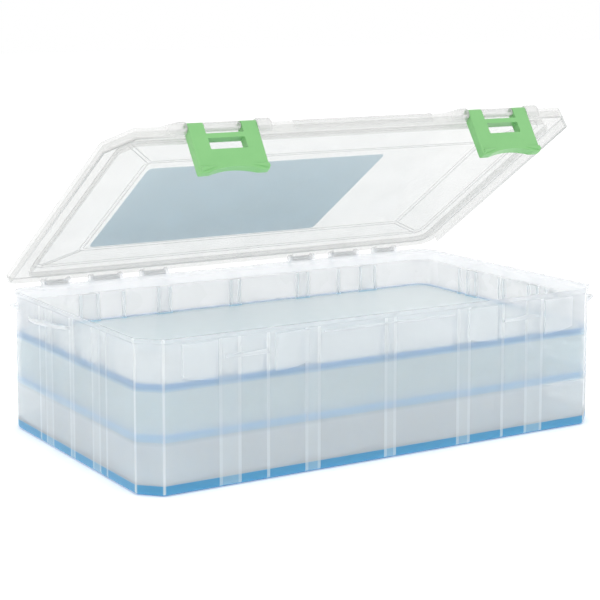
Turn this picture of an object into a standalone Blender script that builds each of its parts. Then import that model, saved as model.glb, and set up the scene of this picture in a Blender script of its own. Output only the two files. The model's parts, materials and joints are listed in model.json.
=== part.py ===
"""Fishing tackle box: a clear latched lid over three gel-lined layers.

Metres, +Z up.  The origin is the middle of the box's underside, +X runs along the
front to the right and +Y points back to the hinges.  The lid stands part open.
"""
import math

import bmesh
import bpy
from mathutils import Matrix, Vector

COLLECTION = "fishing_tackle_box"
GAP = 0.0003
BITE = 0.0008
OVERCUT = 0.001
TOLERANCE = 0.000001

# Base box
BOX_WIDTH = 0.348
BOX_DEPTH = 0.205
BOX_HEIGHT = 0.0947
BOX_WALL = 0.0018
FRONT_CHAMFER = 0.0128
BACK_RADIUS = 0.014
FLOOR_ROUND = 0.0024
RIM_FLARE = 0.001
RIM_FLARE_RISE = 0.0012
RIM_BAND = 0.0035

# Trays, stacked on ribs inside the base
TRAY_CLEARANCE = 0.0008
TRAY_WALL = 0.0013
TRAY_FLOOR_ROUND = 0.0016
SHELF_HEIGHT = 0.0309
LOWER_TRAY_HEIGHT = 0.0302
UPPER_TRAY_HEIGHT = 0.0253
BASE_GEL_TOP = 0.0065
TRAY_GEL_THICKNESS = 0.0033

# Vertical ribs inside the walls: (centre, half spacing), a half spacing of 0 is one rib
LONG_WALL_RIBS = ((0.0, 0.0035), (0.058, 0.0045), (0.090, 0.0), (0.1165, 0.0065))
SIDE_WALL_RIBS = ((0.0, 0.0025), (0.036, 0.005), (0.051, 0.0))
RIB_WIDTH = 0.002
BASE_RIB_DEPTH = 0.003
TRAY_RIB_DEPTH = 0.0015

# Lid, given in its closed position
LID_WIDTH = 0.356
LID_FRONT_Y = -0.1065
LID_BACK_Y = 0.1033
LID_TOP_Z = 0.099
LID_SKIRT_Z = 0.0912
LID_BACK_SKIRT_Z = 0.0952
LID_WALL = 0.0016
LID_CHAMFER = 0.016
LID_EDGE_ROUND = 0.0013
LID_BORDER = (0.0165, 0.0200, 0.0160)
LID_PANEL = (0.0480, 0.0535, 0.0330)
LID_BACK_RADIUS = 0.012
LID_PANEL_RISE = 0.003
LID_BORDER_CHAMFER = 0.0078
LID_BORDER_RADIUS = 0.008
LID_PANEL_CORNER = 0.002
TONGUE_INSET = 0.0125
TONGUE_WALL = 0.0012
TONGUE_Z = 0.0928
TONGUE_CORNERS = (0.009, 0.008)
BACK_CUT_Y = 0.090
LABEL_SIZE = (0.180, 0.1125, 0.0004)
LABEL_CENTRE = (-0.0352, 0.0125)
LABEL_CORNER = 0.003

# Lid hinge: axis, then (centre, width) of each knuckle on the right half
HINGE_Y = 0.107
HINGE_Z = 0.0955
LID_OPEN_ANGLE = math.radians(33.6)
HINGE_KNUCKLES = ((0.062, 0.0165), (0.100, 0.020), (0.1375, 0.016))
HINGE_OUTER_RADIUS = 0.003
HINGE_EAR_WIDTH = 0.0022
PIN_RADIUS = 0.0015
BORE_RADIUS = 0.0018
BORE_SLOT = 0.0026
EAR_ROOT_Z = (0.084, 0.0915)
KNUCKLE_WEB_Z = (0.0962, 0.0983)

# Latches
LATCH_X = 0.105
LATCH_WIDTH = 0.048
LATCH_LENGTH = 0.0348
LATCH_HALF_THICKNESS = 0.003
LATCH_AXIS_Y = -0.1076
LATCH_AXIS_Z = 0.096
LATCH_NOTCH_WIDTH = 0.0262
LATCH_NOTCH_DEPTH = 0.0088
LATCH_WINDOW = (0.0255, 0.0076)
LATCH_WINDOW_DROP = 0.0158
LATCH_ARC_CHORD = 0.036
LATCH_ARC_RISE = 0.003
LATCH_SIDE_GAP = 0.0004
LATCH_LOW_ROUND = 0.0014
HOOK_ROOT = 0.0045
HOOK_TIP = 0.0008
LUG_RADIUS = 0.0042
LUG_WIDTH = {-1: 0.0045, 1: 0.0095}
LUG_RAMP = {-1: 0.015, 1: 0.003}
LUG_ROOT_Z = (0.092, 0.0982)
PIN_SEAT = 0.002
BARREL_WEB_Z = (0.0976, 0.0988)
RAIL_HALF = 0.053
RAIL_PROUD = 0.0012
RAIL_BARS_Z = ((0.0925, 0.0945), (0.0965, 0.0982))

# Catch on the front wall and the hook behind it
CATCH_Z = 0.079
CATCH_HALF_WIDTH = 0.015
CATCH_REACH = 0.0018
CATCH_ROOT = 0.0035
CATCH_TIP = 0.0008
HOOK_CLEARANCE = 0.0004
HOOK_REACH = 0.0014

# Outside details of the base
PAD_SPAN = (0.020, 0.044)
PAD_Z = (0.067, 0.0905)
PAD_THICKNESS = 0.001
PAD_SAG = 0.0035
FRONT_LINE_HALF = 0.050
FRONT_LINE_Z = (0.0874, 0.0886)
FRONT_LINE_PROUD = 0.0007
LIP_HALF_LENGTH = 0.035
LIP_REACH = 0.006
LIP_Z = 0.0825
LIP_THICKNESS = 0.002
LIP_TILT = math.radians(4.0)
TAB_Y = 0.088
TAB_Z = (0.082, 0.087)
TAB_REACH = 0.005
TAB_ROOT = 0.0026
TAB_TIP = 0.0018
TAB_THICK = 0.002


def clear_scene():
    for obj in list(bpy.data.objects):
        bpy.data.objects.remove(obj, do_unlink=True)


def make_collection(name):
    collection = bpy.data.collections.new(name)
    bpy.context.scene.collection.children.link(collection)
    return collection


def make_material(name, colour, roughness, alpha=1.0):
    material = bpy.data.materials.new(name)
    material.use_nodes = True
    shader = material.node_tree.nodes["Principled BSDF"]
    shader.inputs["Base Color"].default_value = (*colour, 1.0)
    shader.inputs["Roughness"].default_value = roughness
    shader.inputs["Metallic"].default_value = 0.0
    shader.inputs["Alpha"].default_value = alpha
    material.diffuse_color = (*colour, alpha)
    return material


def make_object(name, bm, collection, material=None, parent=None, location=(0.0, 0.0, 0.0)):
    mesh = bpy.data.meshes.new(name)
    bmesh.ops.recalc_face_normals(bm, faces=bm.faces)
    bm.to_mesh(mesh)
    bm.free()
    obj = bpy.data.objects.new(name, mesh)
    obj.location = location
    collection.objects.link(obj)
    if parent:
        obj.parent = parent
    if material:
        mesh.materials.append(material)
    return obj


def make_empty(name, collection, location, parent=None):
    empty = bpy.data.objects.new(name, None)
    empty.empty_display_size = 0.01
    empty.location = location
    collection.objects.link(empty)
    empty.parent = parent
    return empty


def boolean(obj, operation, name, bm, cutters, origin=(0.0, 0.0, 0.0)):
    """Join bm to obj, or cut it away.  bm is in the same closed-box frame as obj's origin."""
    bmesh.ops.translate(bm, verts=bm.verts, vec=-Vector(origin))
    tool = make_object(name, bm, cutters, parent=obj.parent)
    tool.hide_render = True
    tool.display_type = "WIRE"
    modifier = obj.modifiers.new(name, "BOOLEAN")
    modifier.operation = operation
    modifier.solver = "EXACT"
    modifier.object = tool


def add_box(bm, low, high):
    low, high = Vector(low), Vector(high)
    verts = bmesh.ops.create_cube(bm, size=1.0)["verts"]
    bmesh.ops.scale(bm, vec=high - low, verts=verts)
    bmesh.ops.translate(bm, vec=(low + high) / 2, verts=verts)
    return verts


def add_rod(bm, radius, x_low, x_high, y, z, segments=20):
    """A round bar along X."""
    turn = Matrix.Rotation(math.pi / 2, 4, "Y")
    verts = bmesh.ops.create_cone(
        bm, cap_ends=True, segments=segments, radius1=radius, radius2=radius,
        depth=x_high - x_low, matrix=turn)["verts"]
    bmesh.ops.translate(bm, vec=((x_low + x_high) / 2, y, z), verts=verts)
    return verts


def add_hull(bm, points):
    verts = [bm.verts.new(point) for point in points]
    result = bmesh.ops.convex_hull(bm, input=verts)
    loose = [item for item in result["geom_interior"] if isinstance(item, bmesh.types.BMVert)]
    bmesh.ops.delete(bm, geom=loose, context="VERTS")


def circle_points(radius, x, y, z, count=16):
    turns = (2 * math.pi * step / count for step in range(count))
    return [(x, y + radius * math.cos(turn), z + radius * math.sin(turn)) for turn in turns]


def corner_block(width, depth, height, chamfer, radius, floor_round):
    """A block standing on z = 0 with chamfered front corners and rounded back ones."""
    bm = bmesh.new()
    add_box(bm, (-width / 2, -depth / 2, 0.0), (width / 2, depth / 2, height))
    upright = [e for e in bm.edges if abs(e.verts[0].co.z - e.verts[1].co.z) > height / 2]
    front = [e for e in upright if e.verts[0].co.y < 0]
    back = [e for e in upright if e.verts[0].co.y > 0]
    bmesh.ops.bevel(bm, geom=front, offset=chamfer, segments=1, profile=0.5, affect="EDGES")
    bmesh.ops.bevel(bm, geom=back, offset=radius, segments=4, profile=0.5, affect="EDGES")
    if floor_round:
        bottom = [e for e in bm.edges if max(v.co.z for v in e.verts) < 1e-6]
        bmesh.ops.bevel(bm, geom=bottom, offset=floor_round, segments=2, profile=0.5, affect="EDGES")
    return bm


def open_top(bm, height):
    lid_faces = [f for f in bm.faces if min(v.co.z for v in f.verts) > height - 1e-6]
    bmesh.ops.delete(bm, geom=lid_faces, context="FACES_ONLY")


def flare_rim(bm, height):
    """Step the open edge outwards and carry it up to the rim."""
    for growth, rise in ((RIM_FLARE, RIM_FLARE_RISE), (0.0, RIM_BAND - RIM_FLARE_RISE)):
        rim = [e for e in bm.edges if e.is_boundary]
        new = bmesh.ops.extrude_edge_only(bm, edges=rim)["geom"]
        verts = [item for item in new if isinstance(item, bmesh.types.BMVert)]
        factors = (1 + 2 * growth / BOX_WIDTH, 1 + 2 * growth / BOX_DEPTH, 1.0)
        bmesh.ops.scale(bm, vec=factors, verts=verts)
        bmesh.ops.translate(bm, vec=(0.0, 0.0, rise), verts=verts)


def add_shell(obj, thickness):
    shell = obj.modifiers.new("shell", "SOLIDIFY")
    shell.thickness = thickness
    shell.offset = -1.0
    shell.use_even_offset = True
    shell.use_quality_normals = True


def rib_centres(layout):
    """Each rib once, on both sides of the middle."""
    centres = set()
    for centre, half in layout:
        for position in (centre - half, centre + half):
            centres.update((round(position, 5), round(-position, 5)))
    return sorted(centres)


def rib_blocks(width, depth, reach, bite, low, high, grow=0.0):
    """Ribs that stand in from the inner faces of a width by depth well, biting into its walls."""
    bm = bmesh.new()
    half = RIB_WIDTH / 2 + grow
    for x in rib_centres(LONG_WALL_RIBS):
        for side in (-1, 1):
            near = side * (depth / 2 - reach - grow)
            far = side * (depth / 2 + bite)
            add_box(bm, (x - half, min(near, far), low), (x + half, max(near, far), high))
    for y in rib_centres(SIDE_WALL_RIBS):
        for side in (-1, 1):
            near = side * (width / 2 - reach - grow)
            far = side * (width / 2 + bite)
            add_box(bm, (min(near, far), y - half, low), (max(near, far), y + half, high))
    return bm


def gel_mat(name, width, depth, chamfer, radius, low, high, rib_depth, parts, cutters, material):
    """A flat mat that fills a well's floor and is notched round the ribs."""
    bm = corner_block(width - 2 * GAP, depth - 2 * GAP, high - low, chamfer, radius, 0.0)
    bmesh.ops.translate(bm, vec=(0.0, 0.0, low), verts=bm.verts)
    mat = make_object(name, bm, parts, material)
    notches = rib_blocks(width, depth, rib_depth, 0.002, low - OVERCUT, high + OVERCUT, GAP)
    boolean(mat, "DIFFERENCE", name + "_notches", notches, cutters)
    return mat


def hinge_ears():
    """Pairs of ears that hold the hinge pins off the back wall."""
    bm = bmesh.new()
    root = [(BOX_DEPTH / 2 - BITE, z) for z in EAR_ROOT_Z]
    for centre, width in HINGE_KNUCKLES:
        for side in (-1, 1):
            for hand in (-1, 1):
                inner = side * centre + hand * (width / 2 + GAP)
                outer = inner + hand * HINGE_EAR_WIDTH
                points = []
                for x in (inner, outer):
                    points += circle_points(HINGE_OUTER_RADIUS, x, HINGE_Y, HINGE_Z)
                    points += [(x, y, z) for y, z in root]
                add_hull(bm, points)
    return bm


def hinge_pins():
    bm = bmesh.new()
    for centre, width in HINGE_KNUCKLES:
        for side in (-1, 1):
            half = width / 2 + GAP + HINGE_EAR_WIDTH / 2
            x = side * centre
            add_rod(bm, PIN_RADIUS, x - half, x + half, HINGE_Y, HINGE_Z, 12)
    return bm


def guard_pads():
    """A raised pad on each side of each latch, with a sagging lower edge."""
    bm = bmesh.new()
    front = -BOX_DEPTH / 2
    steps = 6
    for latch in (-LATCH_X, LATCH_X):
        for hand in (-1, 1):
            inner, outer = (latch + hand * span for span in PAD_SPAN)
            face = []
            for step in range(steps + 1):
                t = step / steps
                sag = PAD_SAG * (1.0 - (1.0 - t) ** 2)
                face.append((outer + (inner - outer) * t, PAD_Z[0] + PAD_SAG - sag))
            face += [(inner, PAD_Z[1]), (outer, PAD_Z[1])]
            outline = bm.faces.new([bm.verts.new((x, front + BITE, z)) for x, z in face])
            raised = bmesh.ops.extrude_face_region(bm, geom=[outline])["geom"]
            moved = [item for item in raised if isinstance(item, bmesh.types.BMVert)]
            bmesh.ops.translate(bm, vec=(0.0, -PAD_THICKNESS - BITE, 0.0), verts=moved)
    bmesh.ops.recalc_face_normals(bm, faces=bm.faces)
    return bm


def catches():
    """A ridge under each latch, flat below and sloped above, and the line between the latches."""
    bm = bmesh.new()
    front = -BOX_DEPTH / 2
    root = front + BITE
    tip = front - CATCH_REACH
    for latch in (-LATCH_X, LATCH_X):
        points = []
        for x in (latch - CATCH_HALF_WIDTH, latch + CATCH_HALF_WIDTH):
            points += [(x, root, CATCH_Z), (x, root, CATCH_Z + CATCH_ROOT)]
            points += [(x, tip, CATCH_Z), (x, tip, CATCH_Z + CATCH_TIP)]
        add_hull(bm, points)
    low, high = FRONT_LINE_Z
    add_box(bm, (-FRONT_LINE_HALF, front - FRONT_LINE_PROUD, low), (FRONT_LINE_HALF, root, high))
    return bm


def finger_lips():
    """A thin crescent ledge on each side wall, behind the middle on the left side."""
    bm = bmesh.new()
    wall = BOX_WIDTH / 2
    radius = (LIP_HALF_LENGTH ** 2 + LIP_REACH ** 2) / (2 * LIP_REACH)
    for side in (-1, 1):
        verts = bmesh.ops.create_cone(
            bm, cap_ends=True, segments=96, radius1=radius, radius2=radius,
            depth=LIP_THICKNESS)["verts"]
        bmesh.ops.rotate(bm, verts=verts, matrix=Matrix.Rotation(side * LIP_TILT, 3, "X"))
        reach = side * (wall + LIP_REACH - radius)
        bmesh.ops.translate(bm, vec=(reach, -side * LIP_HALF_LENGTH, LIP_Z), verts=verts)
        faces = {face for vert in verts for face in vert.link_faces}
        edges = {edge for vert in verts for edge in vert.link_edges}
        cut = bmesh.ops.bisect_plane(
            bm, geom=list(verts) + list(edges) + list(faces), plane_co=(side * (wall - BITE), 0, 0),
            plane_no=(-side, 0, 0), clear_outer=True)
        rim = [item for item in cut["geom_cut"] if isinstance(item, bmesh.types.BMEdge)]
        bmesh.ops.edgeloop_fill(bm, edges=rim)
    return bm


def corner_tabs():
    """A small hook on each side wall, near the front on the right and the back on the left."""
    bm = bmesh.new()
    low, high = TAB_Z
    for side in (-1, 1):
        wall = side * (BOX_WIDTH / 2 - BITE)
        tip = side * (BOX_WIDTH / 2 + TAB_REACH)
        y = -side * TAB_Y
        points = [(wall, y + shift, z) for shift in (-TAB_ROOT, TAB_ROOT) for z in (low, high)]
        points += [(tip, y + shift, z) for shift in (-TAB_TIP, TAB_TIP) for z in (high - TAB_THICK, high)]
        add_hull(bm, points)
    return bm


def build_base(parts, cutters, plastic):
    bm = corner_block(BOX_WIDTH, BOX_DEPTH, BOX_HEIGHT - RIM_BAND, FRONT_CHAMFER, BACK_RADIUS, FLOOR_ROUND)
    open_top(bm, BOX_HEIGHT - RIM_BAND)
    flare_rim(bm, BOX_HEIGHT)
    base = make_object("base_box", bm, parts, plastic)
    add_shell(base, BOX_WALL)
    well_width = BOX_WIDTH - 2 * BOX_WALL
    well_depth = BOX_DEPTH - 2 * BOX_WALL
    ribs = rib_blocks(well_width, well_depth, BASE_RIB_DEPTH, BITE, BOX_WALL / 2, SHELF_HEIGHT)
    boolean(base, "UNION", "base_ribs", ribs, cutters)
    boolean(base, "UNION", "guard_pads", guard_pads(), cutters)
    boolean(base, "UNION", "catches", catches(), cutters)
    boolean(base, "UNION", "finger_lips", finger_lips(), cutters)
    boolean(base, "UNION", "corner_tabs", corner_tabs(), cutters)
    boolean(base, "UNION", "hinge_ears", hinge_ears(), cutters)
    boolean(base, "UNION", "hinge_pins", hinge_pins(), cutters)


def build_base_gel(parts, cutters, gel):
    width = BOX_WIDTH - 2 * BOX_WALL
    depth = BOX_DEPTH - 2 * BOX_WALL
    gel_mat("base_gel_mat", width, depth, FRONT_CHAMFER - BOX_WALL * 0.5, BACK_RADIUS - BOX_WALL,
            BOX_WALL + GAP, BASE_GEL_TOP, BASE_RIB_DEPTH, parts, cutters, gel)


def tray_outline():
    inset = 2 * (BOX_WALL + TRAY_CLEARANCE)
    return BOX_WIDTH - inset, BOX_DEPTH - inset


def build_tray(name, low, height, parts, cutters, plastic, gel):
    width, depth = tray_outline()
    chamfer = FRONT_CHAMFER - TRAY_CLEARANCE
    radius = BACK_RADIUS - BOX_WALL
    bm = corner_block(width, depth, height, chamfer, radius, TRAY_FLOOR_ROUND)
    open_top(bm, height)
    bmesh.ops.translate(bm, vec=(0.0, 0.0, low), verts=bm.verts)
    tray = make_object(name, bm, parts, plastic)
    add_shell(tray, TRAY_WALL)
    well_width = width - 2 * TRAY_WALL
    well_depth = depth - 2 * TRAY_WALL
    ribs = rib_blocks(well_width, well_depth, TRAY_RIB_DEPTH, TRAY_WALL / 2,
                      low + TRAY_WALL / 2, low + height - 0.001)
    boolean(tray, "UNION", name + "_ribs", ribs, cutters)
    gel_low = low + TRAY_WALL + GAP
    gel_mat(name + "_gel_mat", well_width, well_depth, chamfer - TRAY_WALL * 0.5, radius - TRAY_WALL,
            gel_low, gel_low + TRAY_GEL_THICKNESS, TRAY_RIB_DEPTH, parts, cutters, gel)


def lid_ring(insets, chamfer, radius, z):
    """The lid's outline at height z, moved in at the sides, the front and the back."""
    side, front, back = insets
    half = LID_WIDTH / 2 - side
    front_y = LID_FRONT_Y + front
    back_y = LID_BACK_Y - back
    right = [(half - chamfer, front_y), (half, front_y + chamfer)]
    steps = 4
    for step in range(steps + 1):
        turn = math.pi / 2 * step / steps
        right.append((half - radius + radius * math.cos(turn), back_y - radius + radius * math.sin(turn)))
    left = [(-x, y) for x, y in reversed(right)]
    return [(x, y, z) for x, y in right + left]


def lid_surface():
    """The lid's outer skin: skirt, border, slope and raised panel, open underneath."""
    edge = LID_EDGE_ROUND
    none = (0.0, 0.0, 0.0)
    rings = (
        lid_ring(none, LID_CHAMFER, LID_BACK_RADIUS, LID_SKIRT_Z),
        lid_ring(none, LID_CHAMFER, LID_BACK_RADIUS, LID_TOP_Z - edge),
        lid_ring((edge, edge, edge), LID_CHAMFER - edge / 2, LID_BACK_RADIUS - edge / 2, LID_TOP_Z),
        lid_ring(LID_BORDER, LID_BORDER_CHAMFER, LID_BORDER_RADIUS, LID_TOP_Z),
        lid_ring(LID_PANEL, LID_PANEL_CORNER, LID_PANEL_CORNER, LID_TOP_Z + LID_PANEL_RISE),
    )
    bm = bmesh.new()
    loops = []
    for ring in rings:
        verts = [bm.verts.new(point) for point in ring]
        loops.append([bm.edges.new((verts[i], verts[(i + 1) % len(verts)])) for i in range(len(verts))])
    for lower, upper in zip(loops, loops[1:]):
        bmesh.ops.bridge_loops(bm, edges=lower + upper)
    bmesh.ops.edgeloop_fill(bm, edges=loops[-1])
    return bm


def lid_tongue():
    """The locating wall under the lid's border, a closed ring."""
    width = LID_WIDTH - 2 * TONGUE_INSET
    front = LID_FRONT_Y + TONGUE_INSET
    back = LID_BACK_Y - TONGUE_INSET
    height = LID_TOP_Z - LID_WALL / 2 - TONGUE_Z
    bm = corner_block(width, back - front, height, *TONGUE_CORNERS, 0.0)
    ends = [f for f in bm.faces if abs(f.normal.z) > 0.9]
    bmesh.ops.delete(bm, geom=ends, context="FACES_ONLY")
    bmesh.ops.translate(bm, vec=(0.0, (front + back) / 2, TONGUE_Z), verts=bm.verts)
    bmesh.ops.solidify(bm, geom=bm.faces[:], thickness=TONGUE_WALL)
    return bm


def lid_clearances():
    """The back skirt's lower half and a pocket in the front edge for each latch."""
    bm = bmesh.new()
    half = LID_WIDTH / 2 + OVERCUT
    below = LID_SKIRT_Z - OVERCUT
    above = LID_TOP_Z + OVERCUT
    pocket = LATCH_AXIS_Y + LATCH_HALF_THICKNESS + LATCH_SIDE_GAP
    add_box(bm, (-half, BACK_CUT_Y, below), (half, LID_BACK_Y + OVERCUT, LID_BACK_SKIRT_Z))
    for latch in (-LATCH_X, LATCH_X):
        reach = LATCH_WIDTH / 2 + LATCH_SIDE_GAP
        add_box(bm, (latch - reach, LID_FRONT_Y - OVERCUT, below), (latch + reach, pocket, above))
    return bm


def lid_knuckles():
    """Six knuckles on the back edge, each a round with a web to the lid."""
    bm = bmesh.new()
    for centre, width in HINGE_KNUCKLES:
        for side in (-1, 1):
            points = []
            for x in (side * centre - width / 2, side * centre + width / 2):
                points += circle_points(HINGE_OUTER_RADIUS, x, HINGE_Y, HINGE_Z)
                points += [(x, LID_BACK_Y - BITE, z) for z in KNUCKLE_WEB_Z]
            add_hull(bm, points)
    return bm


def knuckle_bores():
    bm = bmesh.new()
    for centre, width in HINGE_KNUCKLES:
        for side in (-1, 1):
            x = side * centre
            half = width / 2 + OVERCUT
            add_rod(bm, BORE_RADIUS, x - half, x + half, HINGE_Y, HINGE_Z)
    return bm


def knuckle_slots():
    """The mouths through which the knuckles snap onto their pins."""
    bm = bmesh.new()
    for centre, width in HINGE_KNUCKLES:
        for side in (-1, 1):
            x = side * centre
            half = width / 2 + OVERCUT
            add_box(bm, (x - half, HINGE_Y - BORE_SLOT / 2, HINGE_Z - HINGE_OUTER_RADIUS - OVERCUT),
                    (x + half, HINGE_Y + BORE_SLOT / 2, HINGE_Z))
    return bm


def latch_lugs():
    """Lugs that hold each latch's pin: a ramped one on its left, a broad one on its right."""
    bm = bmesh.new()
    root = [(LID_FRONT_Y + BITE, z) for z in LUG_ROOT_Z]
    deepest = LID_FRONT_Y + LID_WALL - GAP
    for latch in (-LATCH_X, LATCH_X):
        for hand in (-1, 1):
            near = latch + hand * (LATCH_WIDTH / 2 + LATCH_SIDE_GAP)
            far = near + hand * LUG_WIDTH[hand]
            points = []
            for x in (near, far):
                rounded = circle_points(LUG_RADIUS, x, LATCH_AXIS_Y, LATCH_AXIS_Z)
                points += [(x, min(y, deepest), z) for x, y, z in rounded]
                points += [(x, y, z) for y, z in root]
            points += [(far + hand * LUG_RAMP[hand], y, z) for y, z in root]
            add_hull(bm, points)
    return bm


def latch_barrels():
    """The round in each latch's notch, carried on a web from the lid's edge."""
    bm = bmesh.new()
    half = LATCH_NOTCH_WIDTH / 2 - LATCH_SIDE_GAP
    web_back = LATCH_AXIS_Y + LATCH_HALF_THICKNESS + LATCH_SIDE_GAP + BITE
    for latch in (-LATCH_X, LATCH_X):
        points = []
        for x in (latch - half, latch + half):
            points += circle_points(LATCH_HALF_THICKNESS, x, LATCH_AXIS_Y, LATCH_AXIS_Z)
            points += [(x, web_back, z) for z in BARREL_WEB_Z]
        add_hull(bm, points)
    return bm


def latch_pins():
    bm = bmesh.new()
    half = LATCH_WIDTH / 2 + LATCH_SIDE_GAP + PIN_SEAT
    for latch in (-LATCH_X, LATCH_X):
        add_rod(bm, PIN_RADIUS, latch - half, latch + half, LATCH_AXIS_Y, LATCH_AXIS_Z, 12)
    return bm


def front_rail():
    """The raised rail on the lid's front edge, between the latches."""
    bm = bmesh.new()
    for low, high in RAIL_BARS_Z:
        add_box(bm, (-RAIL_HALF, LID_FRONT_Y - RAIL_PROUD, low), (RAIL_HALF, LID_FRONT_Y + BITE, high))
    return bm


def build_lid(hinge, parts, cutters, plastic):
    origin = hinge.location
    bm = lid_surface()
    bmesh.ops.translate(bm, vec=-origin, verts=bm.verts)
    lid = make_object("lid", bm, parts, plastic, hinge)
    add_shell(lid, LID_WALL)
    steps = (
        ("lid_clearances", "DIFFERENCE", lid_clearances()),
        ("lid_tongue", "UNION", lid_tongue()),
        ("lid_knuckles", "UNION", lid_knuckles()),
        ("knuckle_bores", "DIFFERENCE", knuckle_bores()),
        ("knuckle_slots", "DIFFERENCE", knuckle_slots()),
        ("latch_lugs", "UNION", latch_lugs()),
        ("latch_barrels", "UNION", latch_barrels()),
        ("latch_pins", "UNION", latch_pins()),
        ("front_rail", "UNION", front_rail()),
    )
    for name, operation, tool in steps:
        boolean(lid, operation, name, tool, cutters, origin)


def build_label(hinge, parts, card):
    width, depth, thickness = LABEL_SIZE
    low = LID_TOP_Z + LID_PANEL_RISE + GAP
    bm = bmesh.new()
    add_box(bm, (-width / 2, -depth / 2, 0.0), (width / 2, depth / 2, thickness))
    upright = [e for e in bm.edges if abs(e.verts[0].co.z - e.verts[1].co.z) > thickness / 2]
    bmesh.ops.bevel(bm, geom=upright, offset=LABEL_CORNER, segments=3, profile=0.5, affect="EDGES")
    bmesh.ops.translate(bm, vec=Vector((*LABEL_CENTRE, low)) - hinge.location, verts=bm.verts)
    make_object("lid_label", bm, parts, card, hinge)


def latch_body():
    """A thick plate hanging from z = 0, where its pin runs, with a rounded top."""
    half = LATCH_WIDTH / 2
    thick = LATCH_HALF_THICKNESS
    bottom = thick - LATCH_LENGTH
    bm = bmesh.new()
    add_box(bm, (-half, -thick, bottom), (half, thick, thick))
    above = [e for e in bm.edges if min(v.co.z for v in e.verts) > 0]
    top = [e for e in above if abs(e.verts[0].co.y - e.verts[1].co.y) < TOLERANCE]
    bmesh.ops.bevel(bm, geom=top, offset=thick * 0.98, segments=5, profile=0.5, affect="EDGES")
    low = [e for e in bm.edges if max(v.co.z for v in e.verts) < bottom + TOLERANCE]
    bmesh.ops.bevel(bm, geom=low, offset=LATCH_LOW_ROUND, segments=2, profile=0.5, affect="EDGES")
    return bm


def latch_cuts():
    """The notch round the lid's barrel, the window and the hollow lower edge."""
    thick = LATCH_HALF_THICKNESS
    bm = bmesh.new()
    notch = LATCH_NOTCH_WIDTH / 2
    through = 2 * thick
    add_box(bm, (-notch, -through, thick - LATCH_NOTCH_DEPTH), (notch, through, through))
    width, height = LATCH_WINDOW
    middle = thick - LATCH_WINDOW_DROP
    add_box(bm, (-width / 2, -through, middle - height / 2), (width / 2, through, middle + height / 2))
    chord = LATCH_ARC_CHORD / 2
    radius = (chord ** 2 + LATCH_ARC_RISE ** 2) / (2 * LATCH_ARC_RISE)
    centre = thick - LATCH_LENGTH + LATCH_ARC_RISE - radius
    turn = Matrix.Rotation(math.pi / 2, 4, "X")
    verts = bmesh.ops.create_cone(bm, cap_ends=True, segments=72, radius1=radius, radius2=radius,
                                  depth=2 * through, matrix=turn)["verts"]
    bmesh.ops.translate(bm, vec=(0.0, 0.0, centre), verts=verts)
    return bm


def latch_bore():
    """The pin's bore through both ears."""
    bm = bmesh.new()
    half = LATCH_WIDTH / 2 + OVERCUT
    add_rod(bm, BORE_RADIUS, -half, half, 0.0, 0.0)
    return bm


def latch_mouth():
    """The slot behind the bore, where the latch snaps onto its pin."""
    bm = bmesh.new()
    half = LATCH_WIDTH / 2 + OVERCUT
    back = LATCH_HALF_THICKNESS + OVERCUT
    add_box(bm, (-half, 0.0, -BORE_SLOT / 2), (half, back, BORE_SLOT / 2))
    return bm


def latch_hook():
    """The lip inside the latch that pulls up under the catch."""
    top = CATCH_Z - HOOK_CLEARANCE - LATCH_AXIS_Z
    inner = LATCH_HALF_THICKNESS
    bm = bmesh.new()
    points = []
    for x in (-CATCH_HALF_WIDTH, CATCH_HALF_WIDTH):
        points += [(x, inner - BITE, top), (x, inner - BITE, top - HOOK_ROOT)]
        points += [(x, inner + HOOK_REACH, top), (x, inner + HOOK_REACH, top - HOOK_TIP)]
    add_hull(bm, points)
    return bm


def build_latch(name, x, hinge, parts, cutters, plastic):
    pivot = Vector((x, LATCH_AXIS_Y, LATCH_AXIS_Z)) - hinge.location
    axis = make_empty(name + "_axis", parts, pivot, hinge)
    latch = make_object(name, latch_body(), parts, plastic, axis)
    boolean(latch, "DIFFERENCE", name + "_cuts", latch_cuts(), cutters)
    boolean(latch, "DIFFERENCE", name + "_bore", latch_bore(), cutters)
    boolean(latch, "DIFFERENCE", name + "_mouth", latch_mouth(), cutters)
    boolean(latch, "UNION", name + "_hook", latch_hook(), cutters)


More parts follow.
